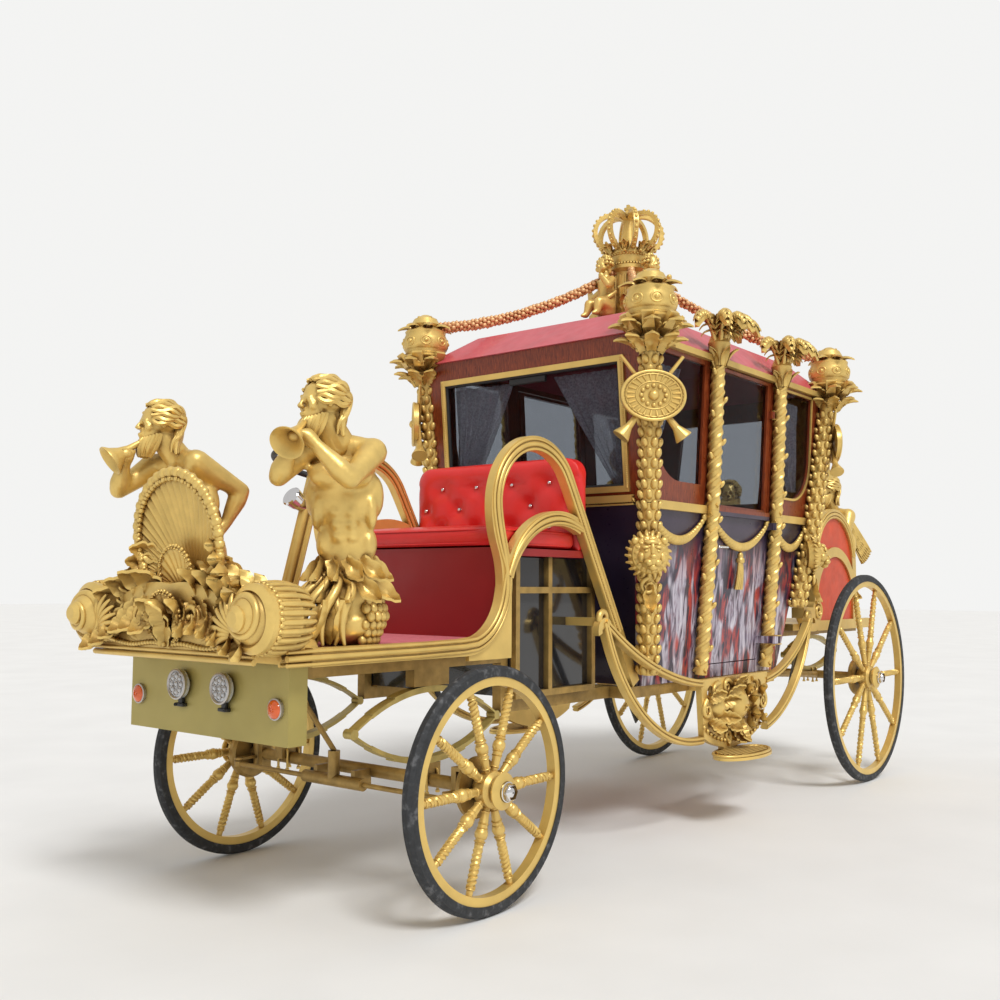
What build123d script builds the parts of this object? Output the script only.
from build123d import *
import os
from math import cos, sin, pi, radians

# Driving dimensions in millimetres. +X points forward, +Y to the left, +Z up, and the ground is Z = 0.
WHEELBASE = 4042.0
FRONT_REACH = 1100.0  # front axle to the tip of the prow
REAR_REACH = 950.0  # rear axle to the back of the rear figures
FRONT_AXLE_X = (WHEELBASE + REAR_REACH - FRONT_REACH) / 2
REAR_AXLE_X = FRONT_AXLE_X - WHEELBASE

# Wheels: turned wooden spokes between a hub and a felloe, with a solid tyre
FRONT_WHEEL_R = 500.0
REAR_WHEEL_R = 707.0
FRONT_WHEEL_Y = 802.0
REAR_WHEEL_Y = 859.0
TYRE_WIDTH = 52.0
TYRE_DEPTH = 46.0
FELLOE_WIDTH = 44.0
FELLOE_DEPTH = 36.0
SPOKE_COUNT = 10
HUB_R = 74.0
HUB_INBOARD = 52.0
HUB_OUTBOARD = 62.0
HUB_NOSE_R = 36.0
HUB_NOSE = 34.0
SPINDLE_R = 20.0
BEARING_GAP = 0.5
SPINDLE_OUTBOARD = 40.0
# Spoke turning: share of the spoke's length from the hub, radius
SPOKE_TURNING = ((0.0, 14.0), (0.24, 21.0), (0.3, 27.0), (0.36, 19.0), (1.0, 13.5))
SPOKE_TENON = 10.0

# Axles, kingpins and steering
AXLE_TUBE_R = 28.0
KINGPIN_Y = 674.0
KINGPIN_R = 12.0
KINGPIN_GAP = 1.0
KNUCKLE_R = 28.0
KNUCKLE_HEIGHT = 110.0
KNUCKLE_CLEARANCE = 2.0
YOKE_EAR_HEIGHT = 16.0
DRUM_R = 125.0
DRUM_WIDTH = 32.0
DRUM_GAP = 8.0
STEER_ARM = 120.0  # kingpin to tie rod pivot
TIE_ROD_R = 11.0
TIE_ROD_DROP = 40.0  # below the axle's centre
ROD_EYE_R = 20.0
ROD_EYE_HEIGHT = 26.0
ARM_THICKNESS = 12.0
RACK_HOUSING_R = 27.0
RUNNING_GAP = 0.3  # round pins and rods
RACK_BORE_R = TIE_ROD_R + RUNNING_GAP
RACK_HALF_LENGTH = 190.0
SHAFT_R = 12.0
COLUMN_FOOT = 470.0  # where the steering column meets the deck

# Elliptic springs: half length, half height between the leaf packs' middles, and the leaf pack
SPRING_Y = 450.0
FRONT_SPRING_HALF = 446.0
FRONT_SPRING_RISE = 150.0
REAR_SPRING_HALF = 420.0
REAR_SPRING_RISE = 112.0
REAR_RAIL_HEIGHT = 40.0
LEAF_PACK = 26.0
LEAF_WIDTH = 50.0
SPRING_EYE_R = 20.0
SPRING_SEAT = 60.0

# Decks
DECK_Z = 1030.0
DECK_THICKNESS = 45.0
CARPET_THICKNESS = 10.0
DECK_FRONT = 840.0  # ahead of the front axle
DECK_REAR = -430.0
RAIL_DROP = -520.0  # where the rails step down to the underframe
DECK_CORNER = 60.0
LOOP_Y = 575.0
LOOP_WIDTH = 42.0
LOOP_DEPTH = 70.0
DECK_HALF = LOOP_Y - LOOP_WIDTH / 2
REAR_DECK_FRONT = 520.0  # ahead of the rear axle
REAR_DECK_REAR = -830.0
CARPET_Z = DECK_Z + DECK_THICKNESS
FLOOR_Z = CARPET_Z + CARPET_THICKNESS

# Lamp box on the front
BOX_FRONT = 816.0
BOX_REAR = 726.0
BOX_HALF = 510.0
BOX_LOW = 727.0
LAMP_Y = 142.0
LAMP_Z = 922.0
LAMP_R = 57.5
LAMP_DEPTH = 30.0
INDICATOR_Y = 444.0
INDICATOR_Z = 863.0
INDICATOR_R = 38.0

# Chassis rails
RAIL_WIDTH = 50.0
RAIL_Y = 450.0
RAIL_HEIGHT = 60.0
UNDERFRAME_Z = 740.0
UNDERFRAME_Y = 560.0
UNDERFRAME_WIDTH = 60.0
UNDERFRAME_HEIGHT = 60.0

# Cab body: height, front and rear station from the front axle, half width
CAB_FLOOR_Z = 800.0
CAB_WAIST_Z = 1760.0
CAB_EAVE_Z = 2640.0
CAB_FRONTS = (-1500.0, -1345.0, -1265.0)
CAB_REARS = (-3140.0, -3470.0, -3680.0)
CAB_HALVES = (600.0, 690.0, 740.0)
WALL = 35.0
CAB_FLOOR_THICKNESS = 50.0

# Doors, hinged on their rear edge
PILLAR_B = -2060.0
PILLAR_C = -2896.0
DOOR_FRONT = -2112.0
DOOR_REAR = -2842.0
DOOR_GAP = 6.0
DOOR_FRONT_GAP = 14.0
DOOR_LOW = 880.0
DOOR_HIGH = 2600.0
HINGE_STATION = -2845.0
HINGE_Y = 747.0
HINGE_LEVELS = (1000.0, 1700.0, 2400.0)
HINGE_BARREL_R = 8.0
HINGE_BARREL = 44.0
HINGE_PIN_R = 4.0
HINGE_END_GAP = 1.0
HINGE_PLATE = 6.0
HINGE_ARM = 20.0
WAIST_RAIL = 46.0
WAIST_RAIL_PROUD = 26.0

# Windows
WINDOW_LOW = 1900.0
WINDOW_HIGH = 2580.0
DOOR_WINDOW_LOW = 1800.0
DOOR_STILE = 48.0
GLASS = 6.0
FRONT_WINDOW_HALF = 605.0
FRONT_WINDOW_LOW = 1850.0
FRONT_WINDOW_HIGH = 2500.0
REAR_WINDOW_HALF = 330.0
FRAME_WIDTH = 32.0
FRAME_PROUD = 14.0

# Roof: height above the eaves, inset of the front, of the rear and of the sides
ROOF_STEPS = ((0.0, -22.0, -22.0, -24.0), (195.0, 270.0, 270.0, 163.0), (345.0, 780.0, 790.0, 500.0))
ROOF_SKIN = 30.0


def ahead(station):
    """X of a station measured forward from the front axle."""
    return FRONT_AXLE_X + station


def cab_value(z, values):
    """One of the cab's sizes at height z, straight between its three sections."""
    levels = (CAB_FLOOR_Z, CAB_WAIST_Z, CAB_EAVE_Z)
    upper = 1 if z <= CAB_WAIST_Z else 2
    share = (z - levels[upper - 1]) / (levels[upper] - levels[upper - 1])
    return values[upper - 1] + share * (values[upper] - values[upper - 1])


def cab_front(z):
    return ahead(cab_value(z, CAB_FRONTS))


def cab_rear(z):
    return ahead(cab_value(z, CAB_REARS))


def cab_half(z):
    return cab_value(z, CAB_HALVES)


def lofted(rows, mode=Mode.ADD):
    """Adds a ruled solid through level rectangles, one row each: height, x from, x to, y from, y to."""
    for low, high in zip(rows, rows[1:]):
        faces = []
        for z, x0, x1, y0, y1 in (low, high):
            with BuildSketch(Plane.XY.offset(z)) as level:
                with Locations(((x0 + x1) / 2, (y0 + y1) / 2)):
                    Rectangle(abs(x1 - x0), abs(y1 - y0))
            faces.append(level.sketch)
        loft(faces, ruled=True, mode=mode)


def block(x0, x1, y0, y1, z0, z1, mode=Mode.ADD):
    """Adds a box between two corners."""
    with Locations(((x0 + x1) / 2, (y0 + y1) / 2, (z0 + z1) / 2)):
        Box(abs(x1 - x0), abs(y1 - y0), abs(z1 - z0), mode=mode)


def rod(start, end, radius, end_radius=None, mode=Mode.ADD):
    """Adds a round bar or a cone between two points."""
    axis = Vector(*end) - Vector(*start)
    foot = Plane(origin=Vector(*start), z_dir=axis)
    with BuildSketch(foot) as base:
        Circle(radius)
    if end_radius is None or end_radius == radius:
        extrude(base.sketch, axis.length, mode=mode)
        return
    with BuildSketch(foot.offset(axis.length)) as tip:
        Circle(end_radius)
    loft([base.sketch, tip.sketch], mode=mode)


def turned(centre, axis, profile, seam=None, mode=Mode.ADD):
    """Adds a turning about an axis: each profile row is a distance along it and a radius."""
    along = Vector(*axis).normalized()
    side = Vector(*seam) if seam else Plane(origin=centre, z_dir=along).x_dir
    flat = Plane(origin=centre, x_dir=side, z_dir=side.cross(along))
    points = [(0, profile[0][0])] + [(r, t) for t, r in profile if r > 0] + [(0, profile[-1][0])]
    with BuildSketch(flat) as outline:
        with BuildLine():
            Polyline(*points, close=True)
        make_face()
    revolve(outline.sketch, Axis(centre, along), mode=mode)


def clear_of(*builders):
    """Cuts finished pieces out of the one that is being made."""
    for builder in builders:
        add(builder.part, mode=Mode.SUBTRACT)


def window(x_pillar, x_corner, z_low, z_high, radius):
    """A window hole along Y: square at its pillar, its other lower corner rounded."""
    way = 1 if x_corner > x_pillar else -1
    with BuildSketch(Plane.XZ) as hole:
        with BuildLine():
            Line((x_pillar, z_high), (x_pillar, z_low))
            Line((x_pillar, z_low), (x_corner - way * radius, z_low))
            RadiusArc((x_corner - way * radius, z_low), (x_corner, z_low + radius), -way * radius)
            Line((x_corner, z_low + radius), (x_corner, z_high))
            Line((x_corner, z_high), (x_pillar, z_high))
        make_face()
    return hole.sketch


PIECES = {}


def keep(label, builder):
    """Puts a finished piece on the list that is written at the end."""
    builder.part.label = label
    PIECES[label] = builder.part


# Wheels: each row gives the wheel's name, its axle, its side, its radius and its track
WHEELS = (
    ("front_left", FRONT_AXLE_X, 1, FRONT_WHEEL_R, FRONT_WHEEL_Y),
    ("front_right", FRONT_AXLE_X, -1, FRONT_WHEEL_R, FRONT_WHEEL_Y),
    ("rear_left", REAR_AXLE_X, 1, REAR_WHEEL_R, REAR_WHEEL_Y),
    ("rear_right", REAR_AXLE_X, -1, REAR_WHEEL_R, REAR_WHEEL_Y),
)
for place, axle_x, side, radius, track in WHEELS:
    centre = Vector(axle_x, side * track, radius)
    outboard = Vector(0, side, 0)
    rim = radius - TYRE_DEPTH
    rim_in = rim - FELLOE_DEPTH

    with BuildPart() as tyre:
        edge = TYRE_WIDTH / 2
        tread = TYRE_WIDTH * 0.23
        turned(
            centre,
            outboard,
            (
                (-edge, rim),
                (-edge, radius - tread),
                (-tread, radius),
                (tread, radius),
                (edge, radius - tread),
                (edge, rim),
            ),
        )
        turned(centre, outboard, ((-TYRE_WIDTH, rim), (TYRE_WIDTH, rim)), mode=Mode.SUBTRACT)
    keep(f"tyre_{place}", tyre)

    with BuildPart() as wheel:
        half = FELLOE_WIDTH / 2
        with BuildSketch(Plane.YZ.offset(axle_x)) as felloe:
            with Locations((centre.Y, centre.Z + (rim + rim_in) / 2)):
                Rectangle(FELLOE_WIDTH, FELLOE_DEPTH)
        revolve(felloe.sketch, Axis(centre, outboard))
        turned(
            centre,
            outboard,
            (
                (-HUB_INBOARD, HUB_R * 0.72),
                (-FELLOE_WIDTH / 2, HUB_R),
                (FELLOE_WIDTH / 2, HUB_R),
                (HUB_OUTBOARD * 0.6, HUB_R * 0.8),
                (HUB_OUTBOARD * 0.7, HUB_R * 0.66),
                (HUB_OUTBOARD, HUB_R * 0.6),
                (HUB_OUTBOARD + HUB_NOSE * 0.2, HUB_NOSE_R),
                (HUB_OUTBOARD + HUB_NOSE, HUB_NOSE_R),
            ),
        )
        for number in range(SPOKE_COUNT):
            angle = 2 * pi * (number + 0.5) / SPOKE_COUNT
            outward = Vector(sin(angle), 0, cos(angle))
            span = rim_in - HUB_R
            foot = HUB_R - SPOKE_TENON
            rows = [(foot, SPOKE_TURNING[0][1])]
            rows += [(HUB_R + share * span, size) for share, size in SPOKE_TURNING[1:-1]]
            rows += [(rim_in + FELLOE_DEPTH * 0.3, SPOKE_TURNING[-1][1])]
            turned(centre, outward, rows, seam=outboard)
        turned(
            centre,
            outboard,
            (
                (-HUB_INBOARD * 2, SPINDLE_R + BEARING_GAP),
                (SPINDLE_OUTBOARD + BEARING_GAP * 2, SPINDLE_R + BEARING_GAP),
            ),
            mode=Mode.SUBTRACT,
        )
    keep(f"wheel_{place}", wheel)

# Front axle: a tube with a yoke at each end, where the kingpins stand, and the seats of the springs
FRONT_AXLE_Z = FRONT_WHEEL_R
REAR_AXLE_Z = REAR_WHEEL_R
EAR_GAP = KNUCKLE_HEIGHT / 2 + KNUCKLE_CLEARANCE
FRONT_SPRING_Z = FRONT_AXLE_Z + AXLE_TUBE_R + SPRING_SEAT / 2 + LEAF_PACK + FRONT_SPRING_RISE
REAR_SPRING_Z = REAR_AXLE_Z + AXLE_TUBE_R + LEAF_PACK / 2 + REAR_SPRING_RISE
with BuildPart() as front_axle:
    yoke_y = KINGPIN_Y - KNUCKLE_R - 3 * KNUCKLE_CLEARANCE
    rod((FRONT_AXLE_X, -yoke_y, FRONT_AXLE_Z), (FRONT_AXLE_X, yoke_y, FRONT_AXLE_Z), AXLE_TUBE_R)
    for side in (1, -1):
        y = side * KINGPIN_Y
        cheek_y = side * (yoke_y - 2 * KNUCKLE_CLEARANCE)
        ear_top = EAR_GAP + YOKE_EAR_HEIGHT
        block(
            FRONT_AXLE_X - KNUCKLE_R,
            FRONT_AXLE_X + KNUCKLE_R,
            side * (yoke_y - 26),
            side * yoke_y,
            FRONT_AXLE_Z - ear_top,
            FRONT_AXLE_Z + ear_top,
        )
        for low in (-ear_top, EAR_GAP):
            ear = (FRONT_AXLE_Z + low, FRONT_AXLE_Z + low + YOKE_EAR_HEIGHT)
            rod((FRONT_AXLE_X, y, ear[0]), (FRONT_AXLE_X, y, ear[1]), KNUCKLE_R)
            block(
                FRONT_AXLE_X - KNUCKLE_R,
                FRONT_AXLE_X + KNUCKLE_R,
                cheek_y,
                y,
                ear[0],
                ear[1],
            )
        rod((FRONT_AXLE_X, y, FRONT_AXLE_Z - ear_top), (FRONT_AXLE_X, y, FRONT_AXLE_Z + ear_top), KINGPIN_R)
        block(
            FRONT_AXLE_X - SPRING_SEAT,
            FRONT_AXLE_X + SPRING_SEAT,
            side * (SPRING_Y - LEAF_WIDTH / 2),
            side * (SPRING_Y + LEAF_WIDTH / 2),
            FRONT_AXLE_Z,
            FRONT_SPRING_Z - FRONT_SPRING_RISE - LEAF_PACK / 2,
        )
keep("front_axle", front_axle)

for name, side in (("left", 1), ("right", -1)):
    with BuildPart() as knuckle:
        y = side * KINGPIN_Y
        half = KNUCKLE_HEIGHT / 2
        outboard = (0, side, 0)
        drum_in = FRONT_WHEEL_Y - HUB_INBOARD - DRUM_GAP - DRUM_WIDTH
        rod((FRONT_AXLE_X, y, FRONT_AXLE_Z - half), (FRONT_AXLE_X, y, FRONT_AXLE_Z + half), KNUCKLE_R)
        turned(
            (FRONT_AXLE_X, 0, FRONT_AXLE_Z),
            outboard,
            (
                (KINGPIN_Y, SPINDLE_R * 1.3),
                (drum_in, SPINDLE_R * 1.3),
                (drum_in, DRUM_R * 0.9),
                (drum_in + DRUM_WIDTH * 0.4, DRUM_R),
                (drum_in + DRUM_WIDTH, DRUM_R),
                (drum_in + DRUM_WIDTH, SPINDLE_R),
                (FRONT_WHEEL_Y + SPINDLE_OUTBOARD, SPINDLE_R),
            ),
        )
        arm_low = FRONT_AXLE_Z - TIE_ROD_DROP + ROD_EYE_HEIGHT / 2 + 5
        block(
            FRONT_AXLE_X + KNUCKLE_R - 8,
            FRONT_AXLE_X + STEER_ARM,
            side * (KINGPIN_Y - ROD_EYE_R * 0.8),
            side * (KINGPIN_Y + ROD_EYE_R * 0.8),
            arm_low,
            arm_low + ARM_THICKNESS,
        )
        rod(
            (FRONT_AXLE_X + STEER_ARM, y, arm_low),
            (FRONT_AXLE_X + STEER_ARM, y, arm_low + ARM_THICKNESS),
            ROD_EYE_R,
        )
        rod(
            (FRONT_AXLE_X, y, FRONT_AXLE_Z - half - 1),
            (FRONT_AXLE_X, y, FRONT_AXLE_Z + half + 1),
            KINGPIN_R + KINGPIN_GAP,
            mode=Mode.SUBTRACT,
        )
    keep(f"knuckle_{name}", knuckle)

# Steering: the tie rod slides through the rack housing, which the steering shaft enters from above
TIE_ROD_X = FRONT_AXLE_X + STEER_ARM
TIE_ROD_Z = FRONT_AXLE_Z - TIE_ROD_DROP
with BuildPart() as tie_rod:
    rod((TIE_ROD_X, -KINGPIN_Y, TIE_ROD_Z), (TIE_ROD_X, KINGPIN_Y, TIE_ROD_Z), TIE_ROD_R)
    for side in (1, -1):
        rod(
            (TIE_ROD_X, side * KINGPIN_Y, TIE_ROD_Z - ROD_EYE_HEIGHT / 2),
            (TIE_ROD_X, side * KINGPIN_Y, TIE_ROD_Z + ROD_EYE_HEIGHT / 2),
            ROD_EYE_R,
        )
keep("tie_rod", tie_rod)

with BuildPart() as steering_rack:
    rod(
        (TIE_ROD_X, -RACK_HALF_LENGTH, TIE_ROD_Z),
        (TIE_ROD_X, RACK_HALF_LENGTH, TIE_ROD_Z),
        RACK_HOUSING_R,
    )
    rod((TIE_ROD_X, 0, TIE_ROD_Z), (TIE_ROD_X, 0, FRONT_AXLE_Z + 90), RACK_HOUSING_R)
    rod((TIE_ROD_X, 0, FRONT_AXLE_Z + 90), (ahead(COLUMN_FOOT), 0, DECK_Z), SHAFT_R)
    for side in (1, -1):
        block(
            FRONT_AXLE_X + AXLE_TUBE_R * 0.7,
            TIE_ROD_X,
            side * 110,
            side * 134,
            TIE_ROD_Z - 14,
            FRONT_AXLE_Z + 14,
        )
    rod(
        (FRONT_AXLE_X, -RACK_HALF_LENGTH, FRONT_AXLE_Z),
        (FRONT_AXLE_X, RACK_HALF_LENGTH, FRONT_AXLE_Z),
        AXLE_TUBE_R,
        mode=Mode.SUBTRACT,
    )
    rod(
        (TIE_ROD_X, -RACK_HALF_LENGTH, TIE_ROD_Z),
        (TIE_ROD_X, RACK_HALF_LENGTH, TIE_ROD_Z),
        RACK_BORE_R,
        mode=Mode.SUBTRACT,
    )
    block(TIE_ROD_X, ahead(COLUMN_FOOT) + 60, -60, 60, DECK_Z, DECK_Z + 60, mode=Mode.SUBTRACT)
keep("steering_rack", steering_rack)

# Rear axle with its brake drums and spindles
with BuildPart() as rear_axle:
    drum_in = REAR_WHEEL_Y - HUB_INBOARD - DRUM_GAP - DRUM_WIDTH
    rod((REAR_AXLE_X, -drum_in - 5, REAR_AXLE_Z), (REAR_AXLE_X, drum_in + 5, REAR_AXLE_Z), AXLE_TUBE_R)
    for side in (1, -1):
        turned(
            (REAR_AXLE_X, 0, REAR_AXLE_Z),
            (0, side, 0),
            (
                (drum_in, DRUM_R * 0.9),
                (drum_in + DRUM_WIDTH * 0.4, DRUM_R),
                (drum_in + DRUM_WIDTH, DRUM_R),
                (drum_in + DRUM_WIDTH, SPINDLE_R),
                (REAR_WHEEL_Y + SPINDLE_OUTBOARD, SPINDLE_R),
            ),
        )
        block(
            REAR_AXLE_X - SPRING_SEAT,
            REAR_AXLE_X + SPRING_SEAT,
            side * (SPRING_Y - LEAF_WIDTH / 2),
            side * (SPRING_Y + LEAF_WIDTH / 2),
            REAR_AXLE_Z,
            REAR_SPRING_Z - REAR_SPRING_RISE - LEAF_PACK / 2,
        )
keep("rear_axle", rear_axle)


def elliptic_spring(x, y, z, half, rise):
    """Adds one full elliptic spring: two bowed leaf packs, stepped towards their middles, on two eyes."""
    with BuildSketch(Plane.XZ.offset(-y - LEAF_WIDTH / 2)) as packs:
        for way in (1, -1):
            for reach, depth in ((1.0, 10.0), (0.78, 18.0), (0.5, LEAF_PACK)):
                low = rise * (1 - reach * reach)
                with BuildLine(mode=Mode.PRIVATE) as inner:
                    ThreePointArc(
                        (x - half * reach, z + way * low),
                        (x, z + way * rise),
                        (x + half * reach, z + way * low),
                    )
                with BuildLine() as outline:
                    add(inner.line)
                    ThreePointArc(
                        (x - half * reach, z + way * (low + depth)),
                        (x, z + way * (rise + depth)),
                        (x + half * reach, z + way * (low + depth)),
                    )
                    Line((x - half * reach, z + way * low), (x - half * reach, z + way * (low + depth)))
                    Line((x + half * reach, z + way * low), (x + half * reach, z + way * (low + depth)))
                make_face()
        with Locations((x - half, z), (x + half, z)):
            Circle(SPRING_EYE_R)
    extrude(packs.sketch, LEAF_WIDTH)


with BuildPart() as front_springs:
    for side in (1, -1):
        rise = FRONT_SPRING_RISE - LEAF_PACK / 2
        elliptic_spring(FRONT_AXLE_X, side * SPRING_Y, FRONT_SPRING_Z, FRONT_SPRING_HALF, rise)
keep("front_springs", front_springs)

with BuildPart() as rear_springs:
    for side in (1, -1):
        rise = REAR_SPRING_RISE - LEAF_PACK / 2
        elliptic_spring(REAR_AXLE_X, side * SPRING_Y, REAR_SPRING_Z, REAR_SPRING_HALF, rise)
keep("rear_springs", rear_springs)

# Chassis: rails under the deck, spring hangers, the underframe of the cab, radius rods and the rear rails
FRONT_HANGER_Z = FRONT_SPRING_Z + FRONT_SPRING_RISE + LEAF_PACK / 2
REAR_HANGER_Z = REAR_SPRING_Z + REAR_SPRING_RISE + LEAF_PACK / 2
RAIL_LOW = DECK_Z - RAIL_HEIGHT
REAR_RAIL_LOW = DECK_Z - REAR_RAIL_HEIGHT
UNDERFRAME_TOP = UNDERFRAME_Z + UNDERFRAME_HEIGHT
HANGER_HALF = 110.0
PERCH_R = 19.0
RADIUS_ROD_R = 22.0
with BuildPart() as chassis_frame:
    for side in (1, -1):
        inner = side * (RAIL_Y - RAIL_WIDTH / 2)
        outer = side * (RAIL_Y + RAIL_WIDTH / 2)
        block(ahead(BOX_REAR), ahead(RAIL_DROP), inner, outer, RAIL_LOW, DECK_Z)
        block(ahead(RAIL_DROP), ahead(RAIL_DROP) + RAIL_WIDTH, inner, outer, UNDERFRAME_Z, DECK_Z)
        block(ahead(RAIL_DROP), ahead(CAB_FRONTS[0]) + 60, inner, outer, UNDERFRAME_Z, UNDERFRAME_TOP)
        under_in = side * (UNDERFRAME_Y - UNDERFRAME_WIDTH / 2)
        under_out = side * (UNDERFRAME_Y + UNDERFRAME_WIDTH / 2)
        foot = ahead(CAB_FRONTS[0])
        block(foot + 120, ahead(CAB_REARS[0]) + 20, under_in, under_out, UNDERFRAME_Z, UNDERFRAME_TOP)
        block(foot + 50, foot + 120, inner, under_out, UNDERFRAME_Z, UNDERFRAME_TOP)
        hanger = (side * (SPRING_Y - LEAF_WIDTH / 2), side * (SPRING_Y + LEAF_WIDTH / 2))
        block(FRONT_AXLE_X - HANGER_HALF, FRONT_AXLE_X + HANGER_HALF, *hanger, FRONT_HANGER_Z, RAIL_LOW + 1)
        block(REAR_AXLE_X - HANGER_HALF, REAR_AXLE_X + HANGER_HALF, *hanger, REAR_HANGER_Z, DECK_Z)
        block(REAR_AXLE_X + REAR_DECK_REAR, REAR_AXLE_X + REAR_DECK_FRONT, inner, outer, REAR_RAIL_LOW, DECK_Z)
        perch = Vector(ahead(CAB_REARS[0]) + 60, side * RAIL_Y, UNDERFRAME_Z + PERCH_R + 6)
        knee = perch - Vector(120, 0, 0)
        rod(perch, knee, PERCH_R)
        rod(knee, (REAR_AXLE_X + REAR_DECK_FRONT - 40, side * RAIL_Y, DECK_Z - PERCH_R - 2), PERCH_R)
        with Locations(knee):
            Sphere(PERCH_R)
        rod(
            (ahead(CAB_REARS[0]) + 60, side * (UNDERFRAME_Y - 60), UNDERFRAME_Z + 30),
            (REAR_AXLE_X + AXLE_TUBE_R + 0.5, side * (UNDERFRAME_Y - 60), REAR_AXLE_Z),
            RADIUS_ROD_R,
        )
    for x in (ahead(BOX_REAR) - RAIL_WIDTH, FRONT_AXLE_X - RAIL_WIDTH / 2, ahead(RAIL_DROP)):
        block(x, x + RAIL_WIDTH, -RAIL_Y, RAIL_Y, RAIL_LOW, DECK_Z)
    for x in (ahead(CAB_FRONTS[0]) + 60, ahead(PILLAR_B), ahead(PILLAR_C), ahead(CAB_REARS[0]) + 30):
        block(x, x + RAIL_WIDTH, -UNDERFRAME_Y, UNDERFRAME_Y, UNDERFRAME_Z, UNDERFRAME_TOP)
    for x in (REAR_AXLE_X + REAR_DECK_REAR, REAR_AXLE_X - RAIL_WIDTH / 2, REAR_AXLE_X + REAR_DECK_FRONT - RAIL_WIDTH):
        block(x, x + RAIL_WIDTH, -RAIL_Y, RAIL_Y, REAR_RAIL_LOW, DECK_Z)
keep("chassis_frame", chassis_frame)

# Lamp box across the front, open towards the rails behind it
BOX_WALL = 3.0
with BuildPart() as front_box:
    block(ahead(BOX_REAR), ahead(BOX_FRONT), -BOX_HALF, BOX_HALF, BOX_LOW, DECK_Z)
    block(
        ahead(BOX_REAR) - 1,
        ahead(BOX_FRONT) - BOX_WALL,
        -BOX_HALF + BOX_WALL,
        BOX_HALF - BOX_WALL,
        BOX_LOW + BOX_WALL,
        DECK_Z - BOX_WALL,
        mode=Mode.SUBTRACT,
    )
keep("front_box", front_box)

with BuildPart() as headlamps:
    for side in (1, -1):
        turned(
            (ahead(BOX_FRONT), side * LAMP_Y, LAMP_Z),
            (1, 0, 0),
            (
                (0, LAMP_R * 0.8),
                (LAMP_DEPTH * 0.4, LAMP_R),
                (LAMP_DEPTH, LAMP_R),
                (LAMP_DEPTH + 5, LAMP_R * 0.8),
            ),
        )
keep("headlamps", headlamps)

with BuildPart() as indicator_lamps:
    for side in (1, -1):
        turned(
            (ahead(BOX_FRONT), side * INDICATOR_Y, INDICATOR_Z),
            (1, 0, 0),
            ((0, INDICATOR_R), (8, INDICATOR_R), (18, INDICATOR_R * 0.85), (26, INDICATOR_R * 0.45)),
        )
keep("indicator_lamps", indicator_lamps)

# Front deck with bevelled front corners, and the rear deck over the rear springs
REAR_DECK_START = REAR_AXLE_X + REAR_DECK_FRONT
with BuildPart() as deck:
    front_x = ahead(DECK_FRONT)
    rear_x = ahead(DECK_REAR)
    with BuildSketch(Plane.XY.offset(DECK_Z)) as plan:
        with BuildLine():
            Polyline(
                (rear_x, -DECK_HALF),
                (front_x - DECK_CORNER, -DECK_HALF),
                (front_x, -DECK_HALF + DECK_CORNER),
                (front_x, DECK_HALF - DECK_CORNER),
                (front_x - DECK_CORNER, DECK_HALF),
                (rear_x, DECK_HALF),
                close=True,
            )
        make_face()
    extrude(plan.sketch, DECK_THICKNESS)
keep("deck", deck)

with BuildPart() as rear_deck:
    block(REAR_AXLE_X + REAR_DECK_REAR, REAR_DECK_START, -DECK_HALF, DECK_HALF, DECK_Z, CARPET_Z)
keep("rear_deck", rear_deck)

SEAT_FRONT = -330.0
SEAT_FOOT = -430.0
SEAT_HALF = LOOP_Y - LOOP_WIDTH / 2 - 2
SEAT_LOW = 1500.0
SEAT_TOP = 1600.0
SEAT_BACK = -970.0
SEAT_BACK_THICKNESS = 110.0
SEAT_BACK_TOP = 1975.0
SEAT_BACK_CORNER = 90.0
PANEL_THICKNESS = 40.0
with BuildPart() as deck_carpet:
    with BuildSketch(Plane.XY.offset(CARPET_Z)) as plan:
        with BuildLine():
            front_x = ahead(DECK_FRONT) - 250
            Polyline(
                (ahead(DECK_REAR), -DECK_HALF),
                (front_x, -DECK_HALF),
                (front_x, DECK_HALF),
                (ahead(DECK_REAR), DECK_HALF),
                close=True,
            )
        make_face()
    extrude(plan.sketch, CARPET_THICKNESS)
keep("deck_carpet", deck_carpet)

# Driver's seat: a leaning front panel, a bearer, the cushion and the tufted back
with BuildPart() as driver_seat_panel:
    with BuildSketch(Plane.XZ.offset(-SEAT_HALF)) as profile:
        with BuildLine():
            Polyline(
                (ahead(SEAT_FOOT), FLOOR_Z),
                (ahead(SEAT_FOOT) + PANEL_THICKNESS, FLOOR_Z),
                (ahead(SEAT_FRONT), SEAT_LOW),
                (ahead(SEAT_FRONT) - PANEL_THICKNESS, SEAT_LOW),
                close=True,
            )
        make_face()
    extrude(profile.sketch, 2 * SEAT_HALF)
    front = ahead(SEAT_FRONT) - PANEL_THICKNESS
    block(ahead(SEAT_BACK) - 60, front, -SEAT_HALF, SEAT_HALF, SEAT_LOW - 35, SEAT_LOW)
keep("driver_seat_panel", driver_seat_panel)

with BuildPart() as driver_seat_cushion:
    block(ahead(SEAT_BACK), ahead(SEAT_FRONT) + 20, -SEAT_HALF, SEAT_HALF, SEAT_LOW, SEAT_TOP)
    fillet(driver_seat_cushion.edges().filter_by(Axis.Y).group_by(Axis.X)[-1], 30)
keep("driver_seat_cushion", driver_seat_cushion)

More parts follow.
